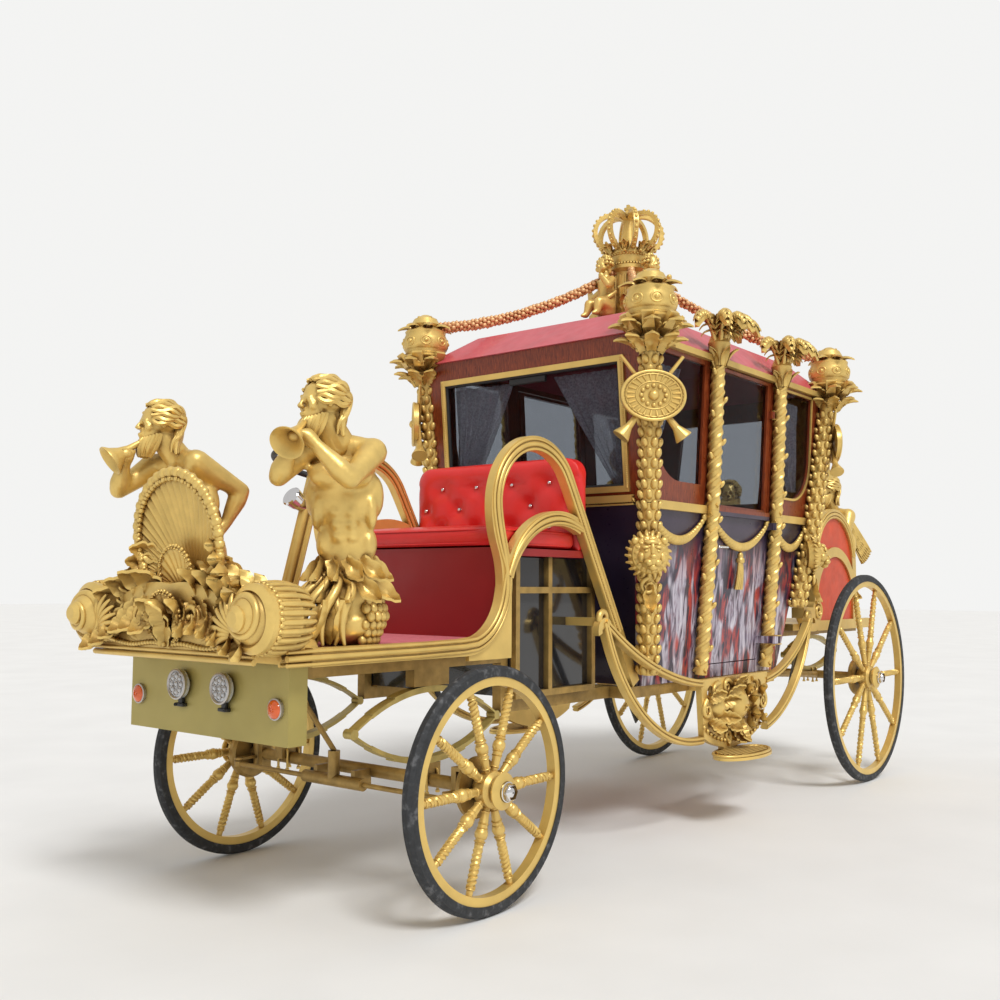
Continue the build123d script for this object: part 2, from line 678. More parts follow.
with BuildPart() as driver_seat_back:
    with BuildSketch(Plane.YZ.offset(ahead(SEAT_BACK) - SEAT_BACK_THICKNESS)) as outline:
        with Locations((0, (SEAT_LOW + SEAT_BACK_TOP) / 2)):
            Rectangle(2 * SEAT_HALF, SEAT_BACK_TOP - SEAT_LOW)
        fillet(outline.vertices().group_by(Axis.Z)[-1], SEAT_BACK_CORNER)
    extrude(outline.sketch, SEAT_BACK_THICKNESS)
keep("driver_seat_back", driver_seat_back)

# Armrest loops with the mouldings along the deck: one bar from the deck's front corner up round the big loop and
# down to the underframe, and a small loop across it
RAIL_MIDDLE = DECK_Z + DECK_THICKNESS / 2 + 5
LEG_X = -365.0
LEG_BEND = 275.0
BIG_LOOP = (-590.0, 1690.0, 305.0)
STRUT_ANGLE = 59.7
KNEE_REAR = -410.0
KNEE_FRONT = -115.0
KNEE_LOW = 1000.0
KNEE_TOP = 1370.0
KNEE_WIDTH = 20.0
SMALL_LOOP = ((-375.0, 1370.0), (-630.0, 1625.0), (-955.0, 1610.0))
LEG_TOP = RAIL_MIDDLE + LEG_BEND
with BuildPart() as armrest_loops:
    big_x, big_z, big_r = ahead(BIG_LOOP[0]), BIG_LOOP[1], BIG_LOOP[2]
    theta = radians(90 + STRUT_ANGLE)
    leave = (big_x + big_r * cos(theta), big_z + big_r * sin(theta))
    down = (-cos(radians(STRUT_ANGLE)), -sin(radians(STRUT_ANGLE)))
    foot_z = UNDERFRAME_TOP - down[0] * LOOP_DEPTH / 2
    strut = (leave[1] - foot_z) / -down[1]
    foot = (leave[0] + strut * down[0], foot_z)
    leg = (ahead(LEG_X), LEG_TOP)
    middle = ((leg[0] + big_x + big_r) / 2, (leg[1] + big_z) / 2)
    rise, shift = middle[1] - leg[1], middle[0] - leg[0]
    slope = (2 * rise * shift, rise * rise - shift * shift)
    with BuildSketch(Plane.XZ.offset(-LOOP_Y)) as loops:
        with BuildLine():
            Line((ahead(DECK_FRONT) - DECK_CORNER, RAIL_MIDDLE), (leg[0] + LEG_BEND, RAIL_MIDDLE))
            TangentArc((leg[0] + LEG_BEND, RAIL_MIDDLE), leg, tangent=(-1, 0))
            TangentArc(leg, middle, tangent=(0, 1))
            TangentArc(middle, (big_x + big_r, big_z), tangent=slope)
            ThreePointArc((big_x + big_r, big_z), (big_x, big_z + big_r), leave)
            Line(leave, foot)
        trace(line_width=LOOP_DEPTH)
        with BuildLine():
            ThreePointArc(*((ahead(x), z) for x, z in SMALL_LOOP))
        trace(line_width=LOOP_DEPTH)
    extrude(amount=LOOP_WIDTH / 2, both=True)
    with BuildSketch(Plane.XZ.offset(-LOOP_Y)) as knee:
        with BuildLine():
            corner = (ahead(KNEE_FRONT), KNEE_LOW)
            Polyline((ahead(KNEE_FRONT), RAIL_MIDDLE), corner, (ahead(KNEE_REAR), KNEE_LOW))
            Line((ahead(KNEE_REAR), KNEE_LOW), (ahead(KNEE_REAR), KNEE_TOP))
            Line((ahead(KNEE_REAR), KNEE_TOP), (leg[0], KNEE_TOP))
            Line((leg[0], KNEE_TOP), leg)
            TangentArc(leg, (leg[0] + LEG_BEND, RAIL_MIDDLE), tangent=(0, -1))
            Line((leg[0] + LEG_BEND, RAIL_MIDDLE), (ahead(KNEE_FRONT), RAIL_MIDDLE))
        make_face()
    extrude(knee.sketch, KNEE_WIDTH / 2, both=True)
    clear_of(chassis_frame, deck)
    mirror(about=Plane.XZ)
keep("armrest_loops", armrest_loops)

# Battery cabinet under the driver's seat, in a frame of square bars
CABINET_FRONT = -525.0
CABINET_REAR = -1180.0
CABINET_INSET = 34.0  # from the armrest loops
CABINET_HALF = LOOP_Y - LOOP_WIDTH / 2 - CABINET_INSET
CABINET_SPLIT = 1290.0
BAR = 30.0
BAR_STATIONS = (-525.0, -780.0, -1150.0)
CABINET_SHELF = 8.0
with BuildPart() as battery_cabinet:
    block(
        ahead(CABINET_REAR),
        ahead(CABINET_FRONT),
        -CABINET_HALF + BAR,
        CABINET_HALF - BAR,
        UNDERFRAME_TOP + CABINET_SHELF,
        SEAT_LOW - 40,
    )
keep("battery_cabinet", battery_cabinet)

with BuildPart() as cabinet_frame:
    for side in (1, -1):
        y0, y1 = side * (CABINET_HALF - BAR), side * CABINET_HALF
        for z in (UNDERFRAME_TOP, CABINET_SPLIT):
            block(ahead(CABINET_REAR), ahead(CABINET_FRONT), y0, y1, z, z + BAR)
        for station in BAR_STATIONS:
            block(ahead(station) - BAR, ahead(station), y0, y1, UNDERFRAME_TOP, SEAT_LOW - 36)
        block(
            ahead(CABINET_REAR),
            ahead(CABINET_FRONT),
            side * (CABINET_HALF - 130),
            y1,
            UNDERFRAME_TOP,
            UNDERFRAME_TOP + CABINET_SHELF,
        )
keep("cabinet_frame", cabinet_frame)


def cab_rows(levels, x0, x1, y0, y1):
    """Rows for a cab panel: each limit is a function of the height, or a number."""
    def at(limit, z):
        return limit(z) if callable(limit) else limit

    return [(z, at(x0, z), at(x1, z), at(y0, z), at(y1, z)) for z in levels]


def inner_half(z):
    return cab_half(z) - WALL


LEVELS = (CAB_FLOOR_Z, CAB_WAIST_Z, CAB_EAVE_Z)
GLASS_IN = (WALL + GLASS) / 2
FRONT_PANE = (ahead(PILLAR_B) + 80, cab_front(WINDOW_HIGH) - 190, 290.0)
REAR_PANE = (ahead(PILLAR_C) - 80, cab_rear(WINDOW_HIGH) + 215, 250.0)
DOOR_PANE = (ahead(DOOR_REAR) + DOOR_STILE, ahead(DOOR_FRONT) - DOOR_STILE)
front_hole = window(FRONT_PANE[0], FRONT_PANE[1], WINDOW_LOW, WINDOW_HIGH, FRONT_PANE[2])
rear_hole = window(REAR_PANE[0], REAR_PANE[1], WINDOW_LOW, WINDOW_HIGH, REAR_PANE[2])

with BuildPart() as cab_floor:
    lofted(
        cab_rows(
            (CAB_FLOOR_Z, CAB_FLOOR_Z + CAB_FLOOR_THICKNESS),
            lambda z: cab_rear(z) + WALL,
            lambda z: cab_front(z) - WALL,
            lambda z: -inner_half(z),
            inner_half,
        )
    )
keep("cab_floor", cab_floor)

with BuildPart() as cab_sides:
    for side in (1, -1):
        lofted(cab_rows(LEVELS, cab_rear, cab_front, lambda z: side * inner_half(z), lambda z: side * cab_half(z)))
    block(
        ahead(DOOR_REAR) - DOOR_GAP,
        ahead(DOOR_FRONT) + DOOR_FRONT_GAP,
        -CAB_HALVES[2],
        CAB_HALVES[2],
        DOOR_LOW - DOOR_GAP,
        DOOR_HIGH + DOOR_GAP,
        mode=Mode.SUBTRACT,
    )
    for hole in (front_hole, rear_hole):
        extrude(hole, 1000, both=True, mode=Mode.SUBTRACT)
keep("cab_sides", cab_sides)

with BuildPart() as cab_front_wall:
    lofted(cab_rows(LEVELS, lambda z: cab_front(z) - WALL, cab_front, lambda z: -inner_half(z), inner_half))
    block(
        ahead(CAB_FRONTS[0]),
        ahead(0),
        -FRONT_WINDOW_HALF,
        FRONT_WINDOW_HALF,
        FRONT_WINDOW_LOW,
        FRONT_WINDOW_HIGH,
        mode=Mode.SUBTRACT,
    )
keep("cab_front_wall", cab_front_wall)

with BuildPart() as cab_rear_wall:
    lofted(cab_rows(LEVELS, cab_rear, lambda z: cab_rear(z) + WALL, lambda z: -inner_half(z), inner_half))
    block(
        ahead(CAB_REARS[2]) - 100,
        ahead(CAB_REARS[1]) + 100,
        -REAR_WINDOW_HALF,
        REAR_WINDOW_HALF,
        WINDOW_LOW,
        FRONT_WINDOW_HIGH,
        mode=Mode.SUBTRACT,
    )
keep("cab_rear_wall", cab_rear_wall)

# Fixed glass: thin copies of the walls, cut to the window holes
with BuildPart() as side_glass:
    for side in (1, -1):
        lofted(
            cab_rows(
                (CAB_WAIST_Z, CAB_EAVE_Z),
                cab_rear,
                cab_front,
                lambda z: side * (cab_half(z) - GLASS_IN),
                lambda z: side * (cab_half(z) - GLASS_IN + GLASS),
            )
        )
    with BuildSketch(Plane.XZ) as both:
        add(front_hole)
        add(rear_hole)
    extrude(both.sketch, 1000, both=True, mode=Mode.INTERSECT)
keep("side_glass", side_glass)

with BuildPart() as end_glass:
    lofted(
        cab_rows(
            (FRONT_WINDOW_LOW, FRONT_WINDOW_HIGH),
            lambda z: cab_front(z) - GLASS_IN,
            lambda z: cab_front(z) - GLASS_IN + GLASS,
            -FRONT_WINDOW_HALF,
            FRONT_WINDOW_HALF,
        )
    )
    lofted(
        cab_rows(
            (WINDOW_LOW, FRONT_WINDOW_HIGH),
            lambda z: cab_rear(z) + GLASS_IN - GLASS,
            lambda z: cab_rear(z) + GLASS_IN,
            -REAR_WINDOW_HALF,
            REAR_WINDOW_HALF,
        )
    )
keep("end_glass", end_glass)

# Roof: a hollow hipped shell
outer = []
inner = []
for rise, front_in, rear_in, side_in in ROOF_STEPS:
    front_x = ahead(CAB_FRONTS[2]) - front_in
    rear_x = ahead(CAB_REARS[2]) + rear_in
    half = CAB_HALVES[2] - side_in
    z = CAB_EAVE_Z + rise
    outer.append((z, rear_x, front_x, -half, half))
    lower = z - (ROOF_SKIN if rise else 0)
    inner.append((lower, rear_x + WALL + 22, front_x - WALL - 22, -half + WALL + 24, half - WALL - 24))
with BuildPart() as cab_roof:
    lofted(outer)
    lofted(inner, mode=Mode.SUBTRACT)
keep("cab_roof", cab_roof)

# The cab's full shape, which its mouldings and carvings are cut to
with BuildPart() as cab_shape:
    lofted(cab_rows(LEVELS, cab_rear, cab_front, lambda z: -cab_half(z), cab_half))
    lofted(outer)

# Palm pillars: each row gives the foot, the waist and the head of a trunk, its radius, and which capital it has
TRUNK_R = 36.0
CORNER_TRUNK_R = 46.0
PILLAR_PROUD = 6.0
PALM_Z = 2700.0
PILLARS = (
    ((-1470.0, 870.0), (-1352.0, CAB_WAIST_Z), (-1292.0, PALM_Z), CORNER_TRUNK_R),
    ((PILLAR_B, 830.0), (PILLAR_B, CAB_WAIST_Z), (PILLAR_B, PALM_Z), TRUNK_R),
    ((PILLAR_C, 830.0), (PILLAR_C, CAB_WAIST_Z), (PILLAR_C, PALM_Z), TRUNK_R),
    ((-3285.0, 1200.0), (-3438.0, CAB_WAIST_Z), (-3640.0, PALM_Z), CORNER_TRUNK_R),
)
# A corner capital is a cup of leaves under a bulb and a bud: height from the trunk's head, radius
BULB = (
    (-150, 50),
    (-90, 62),
    (-52, 100),
    (-6, 138),
    (14, 118),
    (90, 132),
    (140, 116),
    (168, 76),
    (200, 90),
    (236, 70),
    (262, 24),
)
CUP_LEAVES = 7
CUP_LEAF = ((60, -96), (120, -70), (172, 0), (158, 14), (120, -10), (60, -30))
CUP_LEAF_WIDTH = 62.0
with BuildPart() as corner_capital:
    turned((0, 0, 0), (0, 0, 1), BULB)
    for number in range(CUP_LEAVES):
        heading = 2 * pi * (number + 0.5) / CUP_LEAVES
        outward = Vector(cos(heading), sin(heading), 0)
        flat = Plane(origin=(0, 0, 0), x_dir=outward, z_dir=outward.cross(Vector(0, 0, 1)))
        with BuildSketch(flat) as leaf:
            with BuildLine():
                Polyline(*CUP_LEAF, close=True)
            make_face()
        extrude(leaf.sketch, CUP_LEAF_WIDTH / 2, both=True)

# A palm capital's fronds rise, arch over and droop at their tips: heading from +Y and reach
FRONDS = ((-90, 268), (90, 268), (-52, 250), (52, 250), (-16, 196), (16, 196))
FROND_WIDTH = 84.0
FROND_THICKNESS = 22.0
FROND_REACH = 268.0
FROND_RISE = 158.0
FROND_DROOP = 96.0
FROND_FOOT = -70.0
NECK = ((-120, 40), (-60, 52), (10, 64), (70, 40))
palm_fronds = {}
for reach in sorted({row[1] for row in FRONDS}):
    with BuildPart() as frond:
        with BuildSketch(Plane.XZ.offset(-FROND_WIDTH / 2)):
            with BuildLine():
                tip = (reach, FROND_RISE - FROND_DROOP)
                ThreePointArc((20, FROND_FOOT), (reach * 0.42, FROND_RISE * 0.86), tip)
            trace(line_width=FROND_THICKNESS)
        extrude(amount=FROND_WIDTH)
        with BuildSketch(Plane.XY.offset(-FROND_RISE)):
            with BuildLine():
                Polyline(
                    (0, -26),
                    (reach * 0.55, -FROND_WIDTH / 2),
                    (reach * 0.86, -FROND_WIDTH * 0.36),
                    (reach + 14, 0),
                    (reach * 0.86, FROND_WIDTH * 0.36),
                    (reach * 0.55, FROND_WIDTH / 2),
                    (0, 26),
                    close=True,
                )
            make_face()
        extrude(amount=3 * FROND_RISE, mode=Mode.INTERSECT)
    palm_fronds[reach] = frond.part
with BuildPart() as palm_capital:
    turned((0, 0, 0), (0, 0, 1), NECK)
    for heading, reach in FRONDS:
        with Locations(Location((0, 0, 0), (0, 0, 90 - heading))):
            add(palm_fronds[reach])

with BuildPart() as palm_pillars:
    for foot, waist, head, size in PILLARS:
        points = [(ahead(x), cab_half(min(z, CAB_EAVE_Z)) + PILLAR_PROUD + size, z) for x, z in (foot, waist, head)]
        rod(points[0], points[1], size)
        rod(points[1], points[2], size)
        with Locations(points[2]):
            add(corner_capital.part if size == CORNER_TRUNK_R else palm_capital.part)
    clear_of(cab_shape)
    mirror(about=Plane.XZ)
keep("palm_pillars", palm_pillars)

# Mouldings on the cab: cornices along the sides, waist rails, and the frame of the front window
CORNICE_LOW = 2606.0
CORNICE_PROUD = 34.0


def side_strip(x0, x1, low, high, proud, side=1):
    """Adds a strip that stands proud of a cab side between two heights."""
    lofted(
        cab_rows(
            (low, high),
            x0,
            x1,
            lambda z: side * cab_half(z),
            lambda z: side * (cab_half(z) + proud),
        )
    )


# Carvings that stand on the corner pillars. A shield hangs over crossed trumpets, and a lion mask has a muzzle.
SHIELD_SIZE = (340.0, 262.0)
SHIELD_THICKNESS = 26.0
SHIELDS = (((-1262.0, 818.0, 2292.0), 45.0), ((-3640.0, 800.0, 2300.0), 125.0))
TRUMPET = ((-265, 9), (120, 14), (200, 20), (262, 46), (268, 46))
TRUMPET_ANGLE = 52.0
MASKS = (((-1318.0, 752.0, 1485.0), 45.0), ((-3372.0, 742.0, 1533.0), 125.0))
MASK_PROFILE = ((-20, 96), (20, 108), (52, 92), (72, 56))
MUZZLE = ((40, 40), (104, 34), (112, 22))
MUZZLE_DROP = 22.0
SIDE_FRAME = 15.0
SIDE_FRAME_PROUD = 9.0

with BuildPart() as side_frames:
    lofted(
        cab_rows(
            (CAB_WAIST_Z, CAB_EAVE_Z),
            cab_rear,
            cab_front,
            cab_half,
            lambda z: cab_half(z) + SIDE_FRAME_PROUD,
        )
    )
    with BuildSketch(Plane.XZ) as rims:
        for hole in (front_hole, rear_hole):
            offset(hole, SIDE_FRAME, kind=Kind.INTERSECTION)
    with BuildSketch(Plane.XZ) as holes:
        add(front_hole)
        add(rear_hole)
    extrude(rims.sketch, 1000, both=True, mode=Mode.INTERSECT)
    extrude(holes.sketch, 1000, both=True, mode=Mode.SUBTRACT)

with BuildPart() as cab_mouldings:
    side_strip(cab_rear(CORNICE_LOW), cab_front(CORNICE_LOW), CORNICE_LOW, CAB_EAVE_Z, CORNICE_PROUD)
    waist = (CAB_WAIST_Z - WAIST_RAIL / 2, CAB_WAIST_Z + WAIST_RAIL / 2)
    for x0, x1 in (
        (cab_rear(CAB_WAIST_Z) + 30, ahead(PILLAR_C)),
        (ahead(PILLAR_B), cab_front(CAB_WAIST_Z) - 30),
    ):
        side_strip(x0, x1, waist[0], CAB_WAIST_Z, WAIST_RAIL_PROUD)
        side_strip(x0, x1, CAB_WAIST_Z, waist[1], WAIST_RAIL_PROUD)
    add(side_frames.part)
    for (x, y, z), heading in SHIELDS:
        facing = Vector(cos(radians(heading)), sin(radians(heading)), 0)
        face = Plane(origin=(ahead(x), y, z), x_dir=(-facing.Y, facing.X, 0), z_dir=facing)
        with BuildSketch(face) as shield:
            Ellipse(SHIELD_SIZE[0] / 2, SHIELD_SIZE[1] / 2)
        extrude(shield.sketch, SHIELD_THICKNESS)
        for way in (-1, 1):
            tilt = radians(TRUMPET_ANGLE)
            along = face.x_dir * (way * cos(tilt)) - Vector(0, 0, sin(tilt))
            turned(face.origin - facing * 6, tuple(along), TRUMPET, seam=tuple(facing))
    for (x, y, z), heading in MASKS:
        facing = Vector(cos(radians(heading)), sin(radians(heading)), 0)
        turned((ahead(x), y, z), tuple(facing), MASK_PROFILE, seam=(0, 0, 1))
        turned((ahead(x), y, z - MUZZLE_DROP), tuple(facing), MUZZLE, seam=(0, 0, 1))
    clear_of(cab_shape)
    mirror(about=Plane.XZ)
    lofted(
        cab_rows(
            (FRONT_WINDOW_LOW - FRAME_WIDTH, FRONT_WINDOW_HIGH + FRAME_WIDTH),
            cab_front,
            lambda z: cab_front(z) + FRAME_PROUD,
            -FRONT_WINDOW_HALF - FRAME_WIDTH,
            FRONT_WINDOW_HALF + FRAME_WIDTH,
        )
    )
    block(
        ahead(CAB_FRONTS[0]),
        ahead(0),
        -FRONT_WINDOW_HALF,
        FRONT_WINDOW_HALF,
        FRONT_WINDOW_LOW,
        FRONT_WINDOW_HIGH,
        mode=Mode.SUBTRACT,
    )
    lofted(
        cab_rows(
            (CAB_WAIST_Z + 4, CAB_WAIST_Z + 40),
            cab_front,
            lambda z: cab_front(z) + WAIST_RAIL_PROUD,
            lambda z: -inner_half(z),
            inner_half,
        )
    )
    clear_of(palm_pillars)
keep("cab_mouldings", cab_mouldings)

# Doors with their hinge barrels, their glass and their lever handles
HANDLE_STATION = -2170.0
HANDLE_Z = 1555.0
HANDLE_STANDOFF = 40.0
HANDLE_PROFILE = ((-8, 8), (0, 22), (8, 22), (12, 9), (HANDLE_STANDOFF, 9))
HANDLE_LEVER = 110.0
for name, side in (("left", 1), ("right", -1)):
    with BuildPart() as door:
        lofted(
            cab_rows(
                (DOOR_LOW, CAB_WAIST_Z, DOOR_HIGH),
                ahead(DOOR_REAR),
                ahead(DOOR_FRONT),
                lambda z: side * inner_half(z),
                lambda z: side * cab_half(z),
            )
        )
        block(*DOOR_PANE, -1000, 1000, DOOR_WINDOW_LOW, WINDOW_HIGH, mode=Mode.SUBTRACT)
        for low, high in (
            (CAB_WAIST_Z - WAIST_RAIL / 2, CAB_WAIST_Z),
            (CAB_WAIST_Z, CAB_WAIST_Z + WAIST_RAIL / 2),
        ):
            side_strip(ahead(DOOR_REAR) + 10, ahead(DOOR_FRONT), low, high, WAIST_RAIL_PROUD, side)
        for level in HINGE_LEVELS:
            half = HINGE_BARREL / 2
            face = side * (cab_half(level - half) - 2)
            block(
                ahead(DOOR_REAR),
                ahead(DOOR_REAR) + HINGE_ARM,
                face,
                side * HINGE_Y,
                level - half,
                level + half,
            )
            barrel = [(ahead(HINGE_STATION), side * HINGE_Y, level + way * half) for way in (-1, 1)]
            rod(*barrel, HINGE_BARREL_R)
            rod(*barrel, HINGE_PIN_R + RUNNING_GAP, mode=Mode.SUBTRACT)
    keep(f"door_{name}", door)

    with BuildPart() as pane:
        lofted(
            cab_rows(
                (DOOR_WINDOW_LOW, WINDOW_HIGH),
                DOOR_PANE[0],
                DOOR_PANE[1],
                lambda z: side * (cab_half(z) - GLASS_IN),
                lambda z: side * (cab_half(z) - GLASS_IN + GLASS),
            )
        )
    keep(f"door_glass_{name}", pane)


    with BuildPart() as handle:
        z = HANDLE_Z
        face = side * cab_half(z)
        grip = face + side * HANDLE_STANDOFF
        turned((ahead(HANDLE_STATION), face, z), (0, side, 0), HANDLE_PROFILE)
        rod((ahead(HANDLE_STATION), grip, z), (ahead(HANDLE_STATION) - HANDLE_LEVER, grip, z), 9, 7)
        with Locations((ahead(HANDLE_STATION), grip, z)):
            Sphere(9)
        clear_of(door)
    keep(f"door_handle_{name}", handle)

# Hinge plates on the rear pillars, above and below each barrel, with the pin between them
with BuildPart() as door_hinges:
    for level in HINGE_LEVELS:
        near = HINGE_BARREL / 2 + HINGE_END_GAP
        far = near + HINGE_PLATE
        trunk_y = cab_half(level) + PILLAR_PROUD + TRUNK_R
        for low, high in ((-far, -near), (near, far)):
            block(
                ahead(PILLAR_C),
                ahead(HINGE_STATION) + HINGE_BARREL_R,
                min(trunk_y, HINGE_Y - HINGE_BARREL_R),
                HINGE_Y + HINGE_BARREL_R + 2,
                level + low,
                level + high,
            )
        ends = [(ahead(HINGE_STATION), HINGE_Y, level + way * far) for way in (-1, 1)]
        rod(*ends, HINGE_PIN_R)
    clear_of(palm_pillars)
    mirror(about=Plane.XZ)
keep("door_hinges", door_hinges)

# Sling arms on each side: two bars from a hooked scroll down to the carved cartouche, and two up behind it
SLING_Y = 700.0
SLING_WIDTH = 36.0
SLING_DEPTH = 40.0
CARTOUCHE = (-1930.0, -2770.0, 430.0, 810.0)
HOOK = (-983.0, 1151.0)
REAR_HOOK = (-3430.0, 1110.0)
SLING_INNER = SLING_Y - SLING_WIDTH / 2
BRACKET = 40.0
# Tie from the rear hook back to the rear loops' scrolled leg: stations and heights
REAR_TIE = (-3600.0, -3410.0, 1120.0, 1190.0)
CURL = ((-938.0, 1092.0), (-958.0, 1150.0), (-1018.0, 1136.0))
CURL_DEPTH = 34.0
# Openwork and bosses of the cartouche: station, height and, for a boss, radius
PIERCINGS = ((-2040.0, 735.0), (-2640.0, 735.0), (-2180.0, 560.0), (-2500.0, 560.0))
PIERCING_R = 38.0
BOSSES = ((-2340.0, 650.0, 105.0), (-2120.0, 650.0, 72.0), (-2560.0, 650.0, 72.0), (-2340.0, 490.0, 62.0))
BOSS_SUNK = 30.0
with BuildPart() as sling_arms:
    rear_x, front_x = ahead(CARTOUCHE[1]), ahead(CARTOUCHE[0])
    low, high = CARTOUCHE[2:]
    with BuildSketch(Plane.XZ.offset(-SLING_Y)) as arms:
        for start, through, end in (
            (HOOK, (-1420.0, 615.0), (CARTOUCHE[0] - 20, 480.0)),
            (HOOK, (-1390.0, 930.0), (CARTOUCHE[0] - 20, 790.0)),
            (REAR_HOOK, (-3140.0, 670.0), (CARTOUCHE[1] + 20, 480.0)),
            (REAR_HOOK, (-3100.0, 860.0), (CARTOUCHE[1] + 20, 760.0)),
        ):
            with BuildLine():
                ThreePointArc(*((ahead(x), z) for x, z in (start, through, end)))
            trace(line_width=SLING_DEPTH)
        with BuildLine():
            Line((rear_x, high), (front_x, high))
            Line((front_x, high), (front_x - 30, low + 60))
            middle = ((front_x + rear_x) / 2, low - 20)
            ThreePointArc((front_x - 30, low + 60), middle, (rear_x + 120, low + 60))
            Line((rear_x + 120, low + 60), (rear_x, high))
        make_face()
        with BuildLine():
            ThreePointArc(*((ahead(x), z) for x, z in CURL))
        trace(line_width=CURL_DEPTH)
        with Locations((ahead(REAR_HOOK[0]), REAR_HOOK[1])):
            Circle(BRACKET)
        with Locations(*((ahead(x), z) for x, z in PIERCINGS)):
            Circle(PIERCING_R, mode=Mode.SUBTRACT)
    extrude(amount=SLING_WIDTH / 2, both=True)
    for x, z, size in BOSSES:
        with Locations((ahead(x), SLING_Y + SLING_WIDTH / 2 - BOSS_SUNK, z)):
            Sphere(size)
    x, z = ahead(HOOK[0]), HOOK[1]
    block(x - 20, x + 20, CABINET_HALF - BAR, SLING_INNER + 1, z - 20, z + 20)
    block(ahead(REAR_TIE[0]), ahead(REAR_TIE[1]), LOOP_Y + LOOP_WIDTH / 2, SLING_INNER + 1, *REAR_TIE[2:])
    block(
        ahead(CARTOUCHE[1]),
        ahead(CARTOUCHE[0]),
        SLING_INNER - 200,
        SLING_INNER,
        CARTOUCHE[2] - 100,
        CARTOUCHE[3] + 10,
        mode=Mode.SUBTRACT,
    )
    for station in (PILLAR_B, PILLAR_C):
        x = ahead(station)
        inner = UNDERFRAME_Y + UNDERFRAME_WIDTH / 2
        block(x - BRACKET, x + BRACKET, inner, SLING_INNER + 1, UNDERFRAME_Z, UNDERFRAME_TOP)
    clear_of(palm_pillars)
    mirror(about=Plane.XZ)
keep("sling_arms", sling_arms)

# Entry steps: an oval plate on a bracket under each cartouche
STEP_X = -2250.0
STEP_Z = 390.0
STEP_LENGTH = 540.0
STEP_WIDTH = 250.0
STEP_THICKNESS = 16.0
with BuildPart() as steps:
    with BuildSketch(Plane.XY.offset(STEP_Z - STEP_THICKNESS)):
        with Locations((ahead(STEP_X), SLING_Y + STEP_WIDTH / 2 - 20)):
            Ellipse(STEP_LENGTH / 2, STEP_WIDTH / 2)
    extrude(amount=STEP_THICKNESS)
    block(
        ahead(STEP_X) - 60,
        ahead(STEP_X) + 60,
        SLING_INNER,
        SLING_Y + SLING_WIDTH / 2,
        STEP_Z - 1,
        CARTOUCHE[2] + 20,
    )
    clear_of(sling_arms)
    mirror(about=Plane.XZ)
keep("steps", steps)

# Passenger seats: two facing benches
with BuildPart() as passenger_seats:
    floor = CAB_FLOOR_Z + CAB_FLOOR_THICKNESS
    half = CAB_HALVES[0] - WALL - 12
    block(ahead(-1560), ahead(-1950), -half, half, floor, floor + 400)
    block(ahead(-1480), ahead(-1600), -half, half, floor + 300, floor + 850)
    block(ahead(-3100), ahead(-2700), -half, half, floor, floor + 400)
    block(ahead(-3180), ahead(-3060), -half, half, floor + 300, floor + 850)
keep("passenger_seats", passenger_seats)


# Carved prow: a plank of scrollwork across the deck's front, rolled up into a volute at each end
PROW_Y = 533.0
PROW_X = 951.0
PROW_SCROLL_R = 128.0
PROW_SCROLL_HALF = 100.0
PROW_EYE_R = 46.0
PROW_REAR = 690.0
CRESTING_RISE = 250.0
CRESTING_PROUD = 40.0
SHOULDER_IN = 130.0
SHOULDER_RISE = 150.0
with BuildPart() as prow_scrolls:
    for side in (1, -1):
        turned(
            (ahead(PROW_X), side * PROW_Y, CARPET_Z + PROW_SCROLL_R),
            (1, 0, 0),
            (
                (-PROW_SCROLL_HALF, PROW_SCROLL_R * 0.72),
                (-PROW_SCROLL_HALF * 0.7, PROW_SCROLL_R),
                (PROW_SCROLL_HALF * 0.6, PROW_SCROLL_R),
                (PROW_SCROLL_HALF * 0.8, PROW_SCROLL_R * 0.8),
                (PROW_SCROLL_HALF * 0.6, PROW_SCROLL_R * 0.62),
                (PROW_SCROLL_HALF * 0.6, PROW_EYE_R),
                (FRONT_REACH - PROW_X - 16, PROW_EYE_R),
                (FRONT_REACH - PROW_X, PROW_EYE_R * 0.6),
            ),
        )
    top = CARPET_Z + CRESTING_RISE
    with BuildSketch(Plane.YZ.offset(ahead(PROW_REAR))) as cresting:
        with BuildLine():
            Line((-PROW_Y, CARPET_Z), (PROW_Y, CARPET_Z))
            ThreePointArc((PROW_Y, CARPET_Z), (PROW_Y - SHOULDER_IN, CARPET_Z + SHOULDER_RISE), (0, top))
            ThreePointArc((0, top), (SHOULDER_IN - PROW_Y, CARPET_Z + SHOULDER_RISE), (-PROW_Y, CARPET_Z))
        make_face()
    extrude(cresting.sketch, PROW_X + CRESTING_PROUD - PROW_REAR)
keep("prow_scrolls", prow_scrolls)


def scallop(foot_x, foot_z, reach_r, rise, thickness):
    """Adds a scallop: a leaning plate inside a circle, with a bulge on its edge for every rib."""
    up = Vector(sin(radians(SHELL_LEAN)), 0, cos(radians(SHELL_LEAN)))
    fan = Plane(origin=(ahead(foot_x), 0, foot_z), x_dir=(0, 1, 0), z_dir=Vector(0, 1, 0).cross(up))
    tips = []
    for number in range(SHELL_RIBS + 1):
        angle = radians(SHELL_SPREAD * (2 * number / SHELL_RIBS - 1))
        reach = rise * cos(angle) + (reach_r**2 - (rise * sin(angle)) ** 2) ** 0.5
        tips.append(Vector(sin(angle), cos(angle), 0) * reach)
    with BuildSketch(fan) as outline:
        with BuildLine():
            Line((0, 0, 0), tips[0])
            for near, far in zip(tips, tips[1:]):
                ThreePointArc(near, (near + far) * (SHELL_BULGE / 2), far)
            Line(tips[-1], (0, 0, 0))
        make_face()
    extrude(outline.sketch, thickness / 2, both=True)


